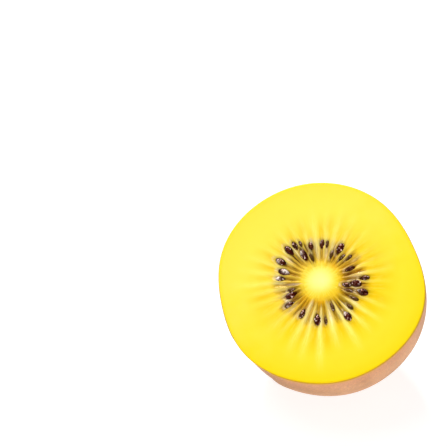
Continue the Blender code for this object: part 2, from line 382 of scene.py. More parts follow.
def all_seeds():
    """Every seed as a dictionary, sorted by bearing, with a little seeded variety."""
    seeds = []
    for length, width, stand, sunk, places in (PLUMP_SEEDS, PLAIN_SEEDS, SLIM_SEEDS):
        for bearing, reach in places:
            size = 1.0 + draws.uniform(-SEED_SPREAD, SEED_SPREAD)
            seeds.append({
                "bearing": math.radians(bearing),
                "reach": reach * MM,
                "length": length * size,
                "width": width / size,
                "stand": stand,
                "sunk": sunk,
                "yaw": math.radians(draws.uniform(-SEED_YAW, SEED_YAW)),
                "pitch": math.radians(draws.uniform(-SEED_PITCH, SEED_PITCH)),
            })
    return sorted(seeds, key=lambda seed: seed["bearing"])


SEEDS = all_seeds()


def locule_bearings():
    """Middle bearings of the locules, in degrees: one for each seed or close group of them."""
    groups = []
    for seed in SEEDS:
        bearing = math.degrees(seed["bearing"])
        if groups and bearing - groups[-1][-1] < LOCULE_MERGE:
            groups[-1].append(bearing)
        else:
            groups.append([bearing])
    middles = [sum(group) / len(group) for group in groups]
    found = []
    for first, second in zip(middles, middles[1:] + [middles[0] + 360.0]):
        parts = max(1, round((second - first) / LOCULE_PITCH))
        found += [first + (second - first) * i / parts for i in range(parts)]
    return np.array(found)


LOCULES = np.radians(locule_bearings())


def locule_phase(bearing):
    """Bearing counted in locules: whole at a locule's middle, half at the wall between two."""
    turned = (bearing - LOCULES[0]) % TAU
    marks = np.append(LOCULES - LOCULES[0], TAU)
    return np.interp(turned, marks, np.arange(len(marks)))


def varied(phase, low, high):
    """A random value for each locule, eased into the next over the wall between them."""
    values = draws.uniform(low, high, len(LOCULES))
    before = np.floor(phase).astype(int)
    share = ease(phase - before, 0.25, 0.75)
    first, second = before % len(LOCULES), (before + 1) % len(LOCULES)
    return values[first] * (1.0 - share) + values[second] * share


# The cut face

# Rows and columns of the pieces' points
FACE_COLUMNS = 600
FINE_REACH = 16.0 * MM
FINE_STEP = 0.15 * MM
COARSE_ROWS = 24
ROUNDING_ROWS = 6
FLANK_ROWS = 22
WELL_ROWS = 9
CORE_COLUMNS = 180
DOME_ROWS = 40
SPINDLE_ROWS = 10
SKIN_COLUMNS = 300
SKIN_ROWS = 130
INNER_ROWS = 26
LIP_ROWS = 7

# The well round the core, and the core's dome
WELL_RADIUS = CORE_RADIUS - 0.02 * MM
WELL_FULLNESS = 0.999
CORE_LIFT = 0.015 * MM
DOME_HEIGHT = 0.16 * MM
DOME_GRAIN = 0.012 * MM

# Relief of the cut face: heights, and the reaches in millimetres between which they rise and fade
HOLLOW_DEPTH = 0.32 * MM
WALL_HEIGHT = 0.07 * MM
FIBRE_HEIGHT = 0.022 * MM
FIBRE_RISE = (4.6, 6.0)
FIBRE_FADE = (10.0, 15.0)
BAND_HEIGHT = 0.035 * MM
BAND_RISE = (6.0, 12.0)
SOCKET_RISE = (4.4, 5.2)

# Round each seed, with distances in its own half lengths and half widths: the socket and its
# brim, the painted glare on its rim and the light's bearing, and the stain, which narrows inwards
SOCKET_DEPTH = 0.22 * MM
SOCKET_WIDTH = 1.15
BRIM_HEIGHT = 0.07 * MM
BRIM_DISTANCE, BRIM_WIDTH = 1.45, 0.3
GLARE_DISTANCE, GLARE_WIDTH = 1.3, 0.25
GLARE_BEARING = math.radians(190.0)
STAIN_INWARDS, STAIN_OUTWARDS, STAIN_SIDEWAYS = 2.6, 1.3, 1.5
STAIN_NARROWING = 0.15
STAIN_WIDTH = 1.1

# The edge of the face and the skin; a drop is how far below the face a surface starts
SKIN_WALL = 0.18 * MM
GAP = 0.1 * MM
FLESH_INSET = 0.08 * MM
FLESH_ROUND = 0.4 * MM
INNER_DROP = 1.2 * MM
OUTER_DROP = 0.75 * MM
LIP_DROP = 0.5 * MM
LIP_ROUND = 0.08 * MM
LIP_WAVER = 0.04 * MM
LIP_WAVES = (9, 4)
LIP_TUCK = 0.7
# The colours of the face's rim and edge start at this share of the radius and these turns
RIM_START = 0.965
EDGE_TURNS = (0.5, 1.4)
# How the skin's rows crowd towards the tip, and the lip's amber on the first ones
SKIN_CROWDING = 1.25
LIP_ENDS = (0.8, 0.2)
# Wrinkles round the scar: count, height, radius and half width of their ring
WRINKLES = (17, 0.035 * MM, 3.2 * MM, 1.8 * MM)

# How much further the core's paleness goes towards one bearing
CORE_SHIFT = 0.6 * MM
CORE_SHIFT_BEARING = math.radians(144.0)

# Spans of reach in millimetres: where a mask starts, is full, fades and ends
CORE_SHIFT_SPAN = (0.0, 2.5, 6.0, 10.0)
OUTER_SPAN = (10.5, 12.5, 13.0, 18.5)

# The rays' bends: waves round the core, sideways turn, and length along the reach
BENDS = ((3.0, 0.012, 2.6 * MM), (8.0, 0.007, -1.6 * MM))

# Walls between the locules: the least and greatest end and start in millimetres, strength, and
# share of the common half width, which grows from the foot outwards; they rise round their start,
# fade from a share of their end, and are dimmer past the seeds
WALL_RANGES = ((17.0, 26.0), (5.2, 6.6), (0.15, 1.0), (0.75, 1.4))
WALL_WIDTH = 0.12
WALL_GROWTH = 0.05
WALL_FOOT = 5.0
WALL_RISE = 0.9
WALL_FADE = 0.62
WALL_DIM = (9.0, 12.5)

# Locules: the least and greatest start and end of their zone in millimetres, and depth of colour,
# and from where to where the zone rises and fades, in millimetres from its start and end
LOCULE_STARTS = (4.3, 5.3)
LOCULE_ENDS = (10.2, 12.0)
LOCULE_DEPTHS = (0.7, 1.0)
LOCULE_RISE = (-0.3, 2.3)
LOCULE_FADE = (-1.8, 0.7)
# Amber at their outer ends: least and greatest reach in millimetres and strength, half depth in
# millimetres, and half width as a share of a locule
AMBER_REACHES = (11.9, 14.7)
AMBER_STRENGTHS = (0.25, 1.0)
AMBER_DEPTH = 2.8
AMBER_WIDTH = 0.38

# Long pale rays: their width as a share of the one given, its growth along the ray, and from
# where to where they rise, in millimetres from their start, and fade, in shares of their end
RAY_WIDTH = 0.72
RAY_GROWTH = 0.055
RAY_RISE = (-1.2, 0.6)
RAY_FADE = (0.68, 1.12)

# Ragged edge of the core's paleness: its reach and half depth, and its teeth's and fibres' size
RAGGED_REACH = 5.0 * MM
RAGGED_DEPTH = 1.5 * MM
RAGGED_TEETH = 0.42 * MM
RAGGED_FIBRES = 0.2 * MM

# Soft sectors of the ring of locules: bearing and half width in degrees, and strength
GREEN_SECTORS = ((-22, 16, 0.9), (-55, 16, 0.9), (205, 14, 0.7), (122, 16, 0.6), (-88, 8, 0.6))
GOLDEN_SECTORS = ((63, 18, 0.8), (-110, 12, 0.9), (158, 20, 1.3), (-74, 9, 0.9), (-32, 7, 0.8))
FAINT_SECTORS = ((105, 13, 0.35),)
PALE_SECTORS = ((-60, 12, 0.8), (-90, 9, 0.5), (200, 14, 0.4), (100, 10, 0.4))
# Soft spots in the ring of locules: bearing, reach in millimetres, half width in degrees, half
# depth in millimetres, and strength
BROWN_SPOTS = (
    (-145, 7.2, 13, 1.9, 0.75), (9, 7.4, 9, 2, 0.6), (32, 7.2, 10, 1.5, 0.6),
    (131, 8.2, 9, 2, 0.5), (-49, 7, 5, 1.3, 0.6), (89, 7.6, 5, 1.4, 0.5),
    (64, 7.6, 9, 1.4, 0.4), (-8, 8.4, 7, 1.4, 0.5), (172, 9, 8, 1.6, 0.35),
)
# Pale cream tissue, with painted glints beside some seeds
CREAM_AND_GLINT_SPOTS = (
    (-57.5, 9.2, 2.8, 2, 1), (-95, 7.2, 3, 1.5, 0.8), (-84, 9.6, 1.6, 2, 0.6),
    (-71, 9.8, 1.4, 2.2, 0.8), (-43, 9.3, 1.2, 2.4, 0.9), (-30, 9.8, 1.4, 1.4, 0.7),
    (-17, 10, 1.6, 1.2, 0.7), (-160, 6.6, 2, 1.6, 0.7), (-132, 9.3, 4, 0.6, 1),
    (-143, 8.6, 3, 0.6, 0.8), (-171, 10.9, 3.2, 0.6, 1), (178, 10.9, 2, 0.5, 0.6),
    (98, 7.6, 2, 1.6, 0.6), (113, 7.8, 3, 1.8, 0.5), (120, 11, 1.6, 1, 0.7),
    (145, 10.2, 1.3, 1.6, 0.8), (160, 10.4, 2.2, 1.4, 0.6), (26, 8.6, 1.6, 1.4, 0.5),
    (6, 8.6, 1.5, 1, 0.6),
)
DARK_SPOTS = (
    (-124.5, 6.9, 1.7, 1.3, 1.4), (-40.4, 8.2, 1.5, 2, 1.4), (-34.6, 7.8, 1.5, 1.6, 1.4),
    (-28.6, 8.2, 1.4, 1.6, 1.1), (146.6, 8.6, 1.4, 1.2, 1.2), (151.6, 9.1, 1.5, 1.5, 1.4),
    (156.8, 9, 1.5, 1.4, 1.3), (130, 10.4, 1.3, 1.3, 1.2), (136.8, 10.2, 1.3, 1.2, 1.1),
    (-47, 6.6, 2.2, 0.7, 0.7), (-64, 9.6, 2, 1.1, 0.6), (-24, 9, 2.2, 1, 0.6),
    (-13, 9.2, 2, 1, 0.6), (-84.5, 9.6, 1.6, 1.8, 0.6), (-101.5, 9.2, 1.6, 1.4, 0.5),
    (122, 8.4, 1.2, 2, 0.6), (96, 8.8, 2, 1.6, 0.4), (170, 7.4, 1, 1.4, 0.6),
)
ORANGE_SPOTS = (
    (70, 5.2, 13, 0.6, 0.9), (30, 5.3, 16, 0.6, 0.5), (-70, 5.5, 10, 0.6, 0.6),
    (-118, 5.6, 14, 0.8, 0.5), (-80, 5.3, 20, 0.7, 0.4),
)
# Painted glints: pale highlights painted on some seeds, where clear tissue covers them
GLINT_SPOTS = (
    (178, 9.3, 2.6, 0.7, 1.5), (189, 10.8, 3, 0.6, 1.3), (141, 9.5, 2.4, 0.6, 1.3),
    (2, 9.2, 3, 0.5, 1), (-38, 10.2, 2.6, 0.5, 0.9), (169, 12.2, 2, 0.5, 0.6),
    (217, 8.8, 2.4, 0.5, 0.5), (109, 10.9, 1.6, 0.5, 0.5), (236, 10.2, 2.2, 0.4, 0.6),
)
# Long pale rays: bearing, start and end in millimetres, half width in millimetres, and strength
PALE_RAYS = (
    (-174, 11, 20, 0.55, 0.5), (-162.5, 9, 21, 0.4, 0.7), (-153, 8, 18, 0.4, 0.5),
    (-142, 10, 17, 0.5, 0.35), (-131, 11, 17, 0.5, 0.3), (-118, 8, 18, 0.45, 0.45),
    (-107.5, 9, 18, 0.45, 0.4), (-94.4, 5.8, 19, 0.5, 0.75), (-84.4, 6.5, 20, 0.32, 0.8),
    (-71.9, 7, 22, 0.28, 1), (-57.5, 5.8, 18, 0.45, 0.9), (-43.1, 6.5, 20, 0.32, 0.95),
    (-30, 7.5, 18, 0.3, 0.85), (-18.8, 7.5, 18, 0.3, 0.8), (-7, 11, 18, 0.45, 0.5),
    (16, 10.5, 17, 0.35, 0.35), (28, 7.5, 18, 0.3, 0.5), (41, 10, 17, 0.35, 0.35),
    (52, 9, 17, 0.4, 0.35), (67, 10, 18, 0.4, 0.45), (81, 10.5, 19, 0.55, 0.55),
    (92, 6.5, 19, 0.35, 0.7), (102, 6.8, 18, 0.4, 0.65), (114.5, 6.6, 19, 0.5, 0.7),
    (124.5, 8, 18, 0.3, 0.6), (135, 11, 18, 0.35, 0.5), (145.5, 11, 18, 0.4, 0.5),
    (155, 10.5, 17, 0.35, 0.5), (163.5, 8.5, 18, 0.35, 0.5), (175, 10.5, 20, 0.4, 0.6),
)


def sectors(bearing, places):
    """Sum of soft sectors."""
    total = 0.0 * bearing
    for middle, spread, strength in places:
        away = bearing_gap(bearing, math.radians(middle))
        total = total + strength * bell(away, math.radians(spread))
    return total


def spots(bearing, reach, places):
    """Sum of soft spots, held between 0 and 1."""
    total = 0.0 * bearing
    for middle, out, spread, depth, strength in places:
        away = bearing_gap(bearing, math.radians(middle))
        spot = bell(away, math.radians(spread)) * bell(reach - out * MM, depth * MM)
        total = total + strength * spot
    return np.clip(total, 0.0, 1.0)


def pale_rays(bearing, reach):
    """The long pale rays, which cross the ring of locules and fade out in the pulp."""
    out = reach / MM
    total = 0.0 * bearing
    for middle, start, end, width, strength in PALE_RAYS:
        away = bearing_gap(bearing, math.radians(middle)) * out
        wide = RAY_WIDTH * width + RAY_GROWTH * (out - start).clip(0.0)
        rise, fade = [start + gap for gap in RAY_RISE], [end * share for share in RAY_FADE]
        along = between(out, *rise, *fade)
        total = np.maximum(total, strength * bell(away, wide) * along)
    return total


def core_shift(bearing, reach):
    """How much further than on average the core's paleness goes on this bearing."""
    fade = between(reach / MM, *CORE_SHIFT_SPAN)
    return CORE_SHIFT * np.cos(bearing - CORE_SHIFT_BEARING) * fade


def wall_mask(bearing, reach, phase):
    """The pale walls between the locules, each with its own length, strength and width."""
    out = reach / MM
    count = len(LOCULES)
    number = np.floor(phase).astype(int) % count
    end, start, strength, share = (draws.uniform(*ends, count)[number] for ends in WALL_RANGES)
    pale = sectors(bearing, PALE_SECTORS)
    width = (WALL_WIDTH + WALL_GROWTH * (out - WALL_FOOT).clip(0.0)) * share * (1.0 + 0.7 * pale)
    away = np.abs(phase - np.floor(phase) - 0.5) * TAU / count * out
    wall = bell(away, width) * np.clip(strength + 0.6 * pale, 0.0, 1.0)
    wall = wall * between(out, start - WALL_RISE, start + WALL_RISE, WALL_FADE * end, end)
    return wall * (1.0 - 0.8 * ease(out, *WALL_DIM))


def locule_mask(bearing, reach, phase):
    """The darker ring of locules, each with its own ends and depth of colour."""
    start = varied(phase, *LOCULE_STARTS) + 0.8 * core_shift(bearing, RAGGED_REACH) / MM
    end = varied(phase, *LOCULE_ENDS)
    depth = varied(phase, *LOCULE_DEPTHS)
    rise, fade = [start + gap for gap in LOCULE_RISE], [end + gap for gap in LOCULE_FADE]
    zone = between(reach / MM, *rise, *fade)
    golden = 1.0 - 0.4 * sectors(bearing, GOLDEN_SECTORS)
    faint = 1.0 - sectors(bearing, FAINT_SECTORS)
    return np.clip(zone * depth * golden * faint, 0.0, 1.0)


def amber_mask(reach, phase):
    """The deeper gold at the outer ends of the locules."""
    part = phase - np.floor(phase)
    middle = varied(phase, *AMBER_REACHES)
    strength = varied(phase, *AMBER_STRENGTHS)
    across = bell(np.minimum(part, 1.0 - part), AMBER_WIDTH)
    return bell(reach / MM - middle, AMBER_DEPTH) * across * strength


def ray_masks(bearing, reach):
    """What the cut face shows round the core, as masks from 0 to 1, and its relief in metres."""
    bend = sum(turn * np.sin(count * bearing + reach / length) for count, turn, length in BENDS)
    phase = locule_phase(bearing + bend)
    wall = wall_mask(bearing, reach, phase)
    brown = spots(bearing, reach, BROWN_SPOTS)
    masks = {
        "wall": wall * (1.0 - 0.7 * brown),
        "locule": locule_mask(bearing, reach, phase),
        "amber": amber_mask(reach, phase),
        "green": np.clip(sectors(bearing, GREEN_SECTORS), 0.0, 1.0),
        "brown": brown,
        "orange": spots(bearing, reach, ORANGE_SPOTS),
        "cream_and_glint": spots(bearing, reach, CREAM_AND_GLINT_SPOTS),
        "dark": spots(bearing, reach, DARK_SPOTS),
        "rays": pale_rays(bearing + 0.6 * bend, reach),
        "outer": between(reach / MM, *OUTER_SPAN),
    }
    along = np.clip((reach - TROUGH_START) / (TROUGH_END - TROUGH_START), 0.0, 1.0)
    across = 0.5 + 0.5 * np.cos(TAU * phase)
    hollow = HOLLOW_DEPTH * np.sin(math.pi * np.sqrt(along)) ** 2 * across
    return masks, WALL_HEIGHT * wall - hollow


def seed_masks(bearing, reach):
    """Stain and painted glare round the seeds as masks, and the relief of their sockets in metres.
    """
    stain, glare_rims, relief = np.zeros((3, *reach.shape))
    x, y = reach * np.cos(bearing), reach * np.sin(bearing)
    inner = 1.0 - ease(reach / MM, 8.5, 10.0)
    golden = 1.0 - 0.5 * np.clip(sectors(bearing, GOLDEN_SECTORS), 0.0, 1.0) * inner
    for seed in SEEDS:
        # u and v are 1 at the seed's ends and sides
        cos, sin = math.cos(seed["bearing"]), math.sin(seed["bearing"])
        u = (x * cos + y * sin - seed["reach"]) / (seed["length"] / 2.0)
        v = (y * cos - x * sin) / (seed["width"] / 2.0)
        distance = np.hypot(u, v)
        bold = 1.0 - 0.5 * seed["sunk"]
        relief -= SOCKET_DEPTH * bold * bell(distance, SOCKET_WIDTH)
        relief += BRIM_HEIGHT * bell(distance - BRIM_DISTANCE, BRIM_WIDTH)
        # Painted glare: each seed's rim is painted pale on the side that faces the light
        turn = GLARE_BEARING - seed["bearing"]
        facing_light = 0.5 + 0.5 * (u * math.cos(turn) + v * math.sin(turn)) / (distance + 0.01)
        pale = bell(distance - GLARE_DISTANCE, GLARE_WIDTH)
        glare_rims = np.maximum(glare_rims, bold * facing_light ** 2 * pale)
        tail = np.where(u < 0.0, u / STAIN_INWARDS, u / STAIN_OUTWARDS)
        side = v / (STAIN_SIDEWAYS + STAIN_NARROWING * u.clip(-3.0, 0.0))
        spread = (0.7 + 0.25 * seed["sunk"]) * golden * bell(np.hypot(tail, side), STAIN_WIDTH)
        stain = 1.0 - (1.0 - stain) * (1.0 - spread)
    stain = stain * (1.0 - 0.5 * bell(reach / MM - 4.6, 0.8))
    return {"stain": stain, "glare_rims": glare_rims}, relief


class Streaks:
    """Random radial streaks about 0, fine round the core and slowly changing along the reach."""

    def __init__(self, count, knots):
        self.count = count
        self.knots = knots
        self.table = draws.normal(0.0, 1.0, (knots, count))

    def at(self, bearing, reach):
        column = (bearing % TAU) / TAU * self.count
        row = np.clip((reach / FACE_RADIUS) * (self.knots - 1), 0.0, self.knots - 1.001)
        c0, r0 = np.floor(column).astype(int), np.floor(row).astype(int)
        c, r = ease(column - c0, 0.0, 1.0), ease(row - r0, 0.0, 1.0)
        left, right = c0 % self.count, (c0 + 1) % self.count
        here = self.table[r0, left] * (1 - c) + self.table[r0, right] * c
        there = self.table[r0 + 1, left] * (1 - c) + self.table[r0 + 1, right] * c
        return here * (1 - r) + there * r


# Fine fibres, broad bands, and the teeth of the core's ragged edge
FIBRES = Streaks(260, 30)
BANDS = Streaks(44, 9)
TEETH = Streaks(110, 12)


def tint_reach(bearing, reach):
    """Reach as the colours see it, as a share of the face's radius: its edges are ragged."""
    streaks = RAGGED_TEETH * TEETH.at(bearing, reach) + RAGGED_FIBRES * FIBRES.at(bearing, reach)
    ragged = bell(reach - RAGGED_REACH, RAGGED_DEPTH) * streaks
    return (reach + ragged - core_shift(bearing, reach)) / FACE_RADIUS


CORE_TIP = np.append(CORE_CENTRE + TIP_SHIFT * (CORE_LENGTH / HALF_LENGTH) ** 2, -CORE_LENGTH)


def build_flesh(material):
    """The flesh: its well round the core, the cut face with its relief, its edge and its flank."""
    bearing = evenly(FACE_COLUMNS)[None, :]
    edge = outline_radius(bearing, 0.0) - FLESH_INSET - FLESH_ROUND
    mean_edge = FACE_RADIUS - FLESH_INSET - FLESH_ROUND
    reaches = np.concatenate([
        np.arange(WELL_RADIUS, FINE_REACH, FINE_STEP),
        np.linspace(FINE_REACH, mean_edge, COARSE_ROWS),
    ])[:, None]
    along = (reaches - WELL_RADIUS) / (mean_edge - WELL_RADIUS)
    reach = WELL_RADIUS + (edge - WELL_RADIUS) * along
    out = reach / MM
    rays, ray_relief = ray_masks(bearing, reach)
    marks, seed_relief = seed_masks(bearing, reach)
    fibre_zone = ease(out, *FIBRE_RISE) * (1.0 - 0.75 * ease(out, *FIBRE_FADE))
    height = (
        ray_relief
        + seed_relief * ease(out, *SOCKET_RISE)
        + FIBRE_HEIGHT * FIBRES.at(bearing, reach) * fibre_zone
        + BAND_HEIGHT * BANDS.at(bearing, reach) * ease(out, *BAND_RISE)
    )
    centre = [middle * (1.0 - along) for middle in CORE_CENTRE]
    face = points_at(reach, bearing, height * (1.0 - along ** 12), centre)

    turn = np.linspace(0.0, QUARTER_TURN, ROUNDING_ROWS)[1:, None]
    rim = edge + FLESH_ROUND * np.sin(turn)
    rounding = points_at(rim, bearing, -FLESH_ROUND * (1.0 - np.cos(turn)))

    slopes = np.linspace(slope_below_face(INNER_DROP), QUARTER_TURN, FLANK_ROWS)[:-1, None]
    side = flank(bearing, slopes, SKIN_WALL + GAP)

    share = np.sin(QUARTER_TURN * np.linspace(1.0, 0.0, WELL_ROWS)[:-1, None])
    well = spindle(share, WELL_RADIUS, bearing, WELL_FULLNESS)

    points = np.concatenate([well, face, rounding, side])
    before, after = len(well), len(rounding) + len(side)
    masks = {
        key: np.pad(np.broadcast_to(mask, reach.shape), ((before, after), (0, 0)))
        for key, mask in {**rays, **marks}.items()
    }
    masks["rim"] = np.vstack([
        np.zeros((before, 1)), ease(along, RIM_START, 1.0), np.ones((after, 1)),
    ])
    masks["edge"] = np.vstack([
        np.zeros((before + len(face), 1)), ease(turn, *EDGE_TURNS), np.ones((len(side), 1)),
    ])
    masks["reach"] = tint_reach(bearing, core_reach(points))
    tips = (CORE_TIP, flank(0.0, QUARTER_TURN, SKIN_WALL + GAP))
    grid_piece("kiwi_flesh", points, tips, masks, material, "flesh")


def build_core(material):
    """The pale core: a low, slightly grainy dome on a tapering spindle."""
    bearing = evenly(CORE_COLUMNS)[None, :]
    share = np.linspace(0.02, 1.0, DOME_ROWS)[:, None]
    radius = CORE_RADIUS * share
    dome = CORE_LIFT + DOME_HEIGHT * (1.0 - share ** 2)
    grain = DOME_GRAIN * BANDS.at(bearing, radius * 4.0) * (1.0 - share ** 4)
    top = points_at(radius, bearing, dome + grain, CORE_CENTRE)

    share = np.sin(QUARTER_TURN * np.linspace(0.0, 1.0, SPINDLE_ROWS)[1:-1, None])
    side = spindle(share, CORE_RADIUS - GAP, bearing)

    points = np.concatenate([top, side])
    far = core_reach(points)
    masks = dict.fromkeys((
        "wall", "locule", "amber", "green", "stain", "glare_rims", "rim", "brown", "edge", "cream_and_glint",
        "dark", "rays", "outer",
    ), 0.0)
    masks["orange"] = spots(bearing, far, ORANGE_SPOTS)
    masks["reach"] = tint_reach(bearing, far)
    tips = (np.append(CORE_CENTRE, CORE_LIFT + DOME_HEIGHT), CORE_TIP)
    grid_piece("kiwi_core", points, tips, masks, material, "core")


def blossom_end(radius):
    """How far the skin stands out past the plain tip: the nub, less the scar's hollow."""
    return NUB_HEIGHT * bell(radius, NUB_RADIUS) - SCAR_DEPTH * np.exp(-(radius / SCAR_RADIUS) ** 4)


def build_skin(material):
    """The skin: a thin cup with a rounded lip, the blossom end's nub and its scar."""
    bearing = evenly(SKIN_COLUMNS)[None, :]
    inner_slopes = np.linspace(slope_below_face(INNER_DROP), QUARTER_TURN, INNER_ROWS)[:-1, None]
    inner = flank(bearing, inner_slopes, SKIN_WALL)[::-1]

    lip_half = SKIN_WALL / 2.0
    turn = np.linspace(-QUARTER_TURN, QUARTER_TURN, LIP_ROWS)[:, None]
    middle = outline_radius(bearing, 0.0) - LIP_TUCK * face_tuck(bearing) - lip_half
    waver = LIP_WAVER * np.sin(LIP_WAVES[0] * bearing) * np.sin(LIP_WAVES[1] * bearing)
    height = -LIP_DROP + LIP_ROUND * np.cos(turn) + waver
    lip = points_at(middle + lip_half * np.sin(turn), bearing, height)

    share = np.linspace(0.0, 1.0, SKIN_ROWS)[:-1, None]
    first = slope_below_face(OUTER_DROP)
    slopes = first + (QUARTER_TURN - first) * (1.0 - (1.0 - share) ** SKIN_CROWDING)
    outer = flank(bearing, slopes, 0.0)
    radius = FACE_RADIUS * np.cos(slopes)
    count, wrinkle, ring, spread = WRINKLES
    outer[..., 2] -= blossom_end(radius)
    outer[..., 2] += wrinkle * np.sin(count * bearing + 2.0) * bell(radius - ring, spread)

    points = np.concatenate([inner, lip, outer])
    cut = len(inner) + len(lip)
    lip_mask = np.zeros((len(points), 1))
    lip_mask[:cut] = 1.0
    lip_mask[cut:cut + len(LIP_ENDS), 0] = LIP_ENDS
    tip_reach = np.vstack([np.ones((cut, 1)), radius / FACE_RADIUS])
    outer_tip = flank(0.0, QUARTER_TURN, 0.0) - (0.0, 0.0, blossom_end(0.0))
    tips = (flank(0.0, QUARTER_TURN, SKIN_WALL), outer_tip)
    masks = {"lip": lip_mask, "tip_reach": tip_reach}
    grid_piece("kiwi_skin", points, tips, masks, material, "skin")


# Seeds and styles

# Seeds: thickness as a share of the width, how much the inner end narrows, and unevenness
SEED_ROWS = 22
SEED_COLUMNS = 18
SEED_THICKNESS = 0.36
SEED_POINT = 0.6
SEED_WOBBLE = 0.03
SEED_TWIST = 40.0
SEED_SINK = 0.12 * MM
# Sets each seed's noise apart from the others'
SEED_STEP = 5.3

# Styles: the least and greatest root radius, length and thickness in millimetres, and splay and
# turn aside in radians
STYLE_COUNT = 34
STYLE_SIDES = 5
STYLE_JOINTS = 6
STYLE_TAPER = 0.7
STYLE_SINK = 0.15 * MM
STYLE_TURNS = (-0.08, 0.08)
STYLE_ROOTS = (0.8, 2.0)
STYLE_LENGTHS = (0.7, 1.25)
STYLE_SPLAYS = (0.1, 0.8)
STYLE_RADII = (0.05, 0.09)


def seed_points(seed):
    """Points of an almond along X, pointed at the core, with its two tips last."""
    turn = np.linspace(0.0, math.pi, SEED_ROWS + 2)[1:-1, None]
    around = evenly(SEED_COLUMNS)[None, :]
    along = -np.cos(turn)
    girth = np.sin(turn) * (1.0 - SEED_POINT * np.clip(-along, 0.0, 1.0) ** 1.5)
    wobble = np.sin(3 * around + seed["yaw"] * SEED_TWIST) * np.sin(2 * turn)
    girth = girth * (1.0 + SEED_WOBBLE * wobble)
    half = seed["length"] / 2.0
    y = girth * np.cos(around) * seed["width"] / 2.0
    z = girth * np.sin(around) * seed["width"] * SEED_THICKNESS
    rows = np.stack(np.broadcast_arrays(along * half, y, z), axis=-1)
    return np.vstack([rows.reshape(-1, 3), [(-half, 0.0, 0.0), (half, 0.0, 0.0)]])


def seed_faces():
    """Faces of one seed, outwards: bands of quads and a fan at each tip."""
    index = np.arange(SEED_ROWS * SEED_COLUMNS).reshape(SEED_ROWS, SEED_COLUMNS)
    upper, lower = index[:-1], index[1:]
    quads = np.stack([upper, np.roll(upper, -1, 1), np.roll(lower, -1, 1), lower], axis=-1)
    first, last = index.size, index.size + 1
    faces = quads.reshape(-1, 4).tolist()
    faces += [(b, a, first) for a, b in zip(index[0], np.roll(index[0], -1))]
    faces += [(a, b, last) for a, b in zip(index[-1], np.roll(index[-1], -1))]
    return faces


def build_seeds(material):
    """All the seeds as one piece, each in its socket and pointing at the core."""
    verts, faces, sunk, own = [], [], [], []
    for number, seed in enumerate(SEEDS):
        height = seed["stand"] - seed["width"] * SEED_THICKNESS - SEED_SINK
        matrix = (
            Matrix.Translation((*CORE_CENTRE, 0.0))
            @ Matrix.Rotation(seed["bearing"], 4, "Z")
            @ Matrix.Translation((seed["reach"], 0.0, height))
            @ Matrix.Rotation(seed["yaw"], 4, "Z")
            @ Matrix.Rotation(seed["pitch"], 4, "Y")
        )
        points = seed_points(seed)
        base = number * len(points)
        faces += [[int(corner) + base for corner in face] for face in seed_faces()]
        verts += [matrix @ Vector(point) for point in points]
        own.append(points / MM + SEED_STEP * number)
        sunk += [seed["sunk"]] * len(points)
    verts = np.array(verts)
    mesh = new_mesh("kiwi_seeds", verts, faces)
    out = verts[:, :2] - CORE_CENTRE
    set_mask(mesh, "sunk", sunk)
    set_mask(mesh, "glint", spots(np.arctan2(out[:, 1], out[:, 0]), core_reach(verts), GLINT_SPOTS))
    set_vectors(mesh, "own", np.vstack(own))
    add_piece("kiwi_seeds", mesh, material, "flesh")


def build_styles(material):
    """The dry styles on the scar: short, thin, curling threads in a tuft."""
    verts, faces = [], []
    tip = flank(0.0, QUARTER_TURN, 0.0)
    for i in range(STYLE_COUNT):
        bearing = TAU * i / STYLE_COUNT + draws.uniform(*STYLE_TURNS)
        root = draws.uniform(*STYLE_ROOTS) * MM
        length = draws.uniform(*STYLE_LENGTHS) * MM
        splay = draws.uniform(*STYLE_SPLAYS)
        radius = draws.uniform(*STYLE_RADII) * MM
        height = tip[2] - blossom_end(root) + STYLE_SINK
        base = len(verts)
        for share in np.linspace(0.0, 1.0, STYLE_JOINTS):
            lean = splay * share ** 1.5
            out = root + length * share * math.sin(lean)
            centre = (tip[0] + out * math.cos(bearing), tip[1] + out * math.sin(bearing))
            low = height - length * share * math.cos(lean)
            thick = radius * (1.0 - STYLE_TAPER * share)
            verts.extend(points_at(thick, evenly(STYLE_SIDES), low, centre))
        rings = base + np.arange(STYLE_JOINTS * STYLE_SIDES).reshape(STYLE_JOINTS, STYLE_SIDES)
        for upper, lower in zip(rings[:-1].tolist(), rings[1:].tolist()):
            for k in range(STYLE_SIDES):
                after = (k + 1) % STYLE_SIDES
                faces.append((upper[k], lower[k], lower[after], upper[after]))
        faces += [rings[0].tolist(), rings[-1][::-1].tolist()]
    mesh = new_mesh("kiwi_styles", np.array(verts), faces)
    add_piece("kiwi_styles", mesh, material, "skin")


# Materials

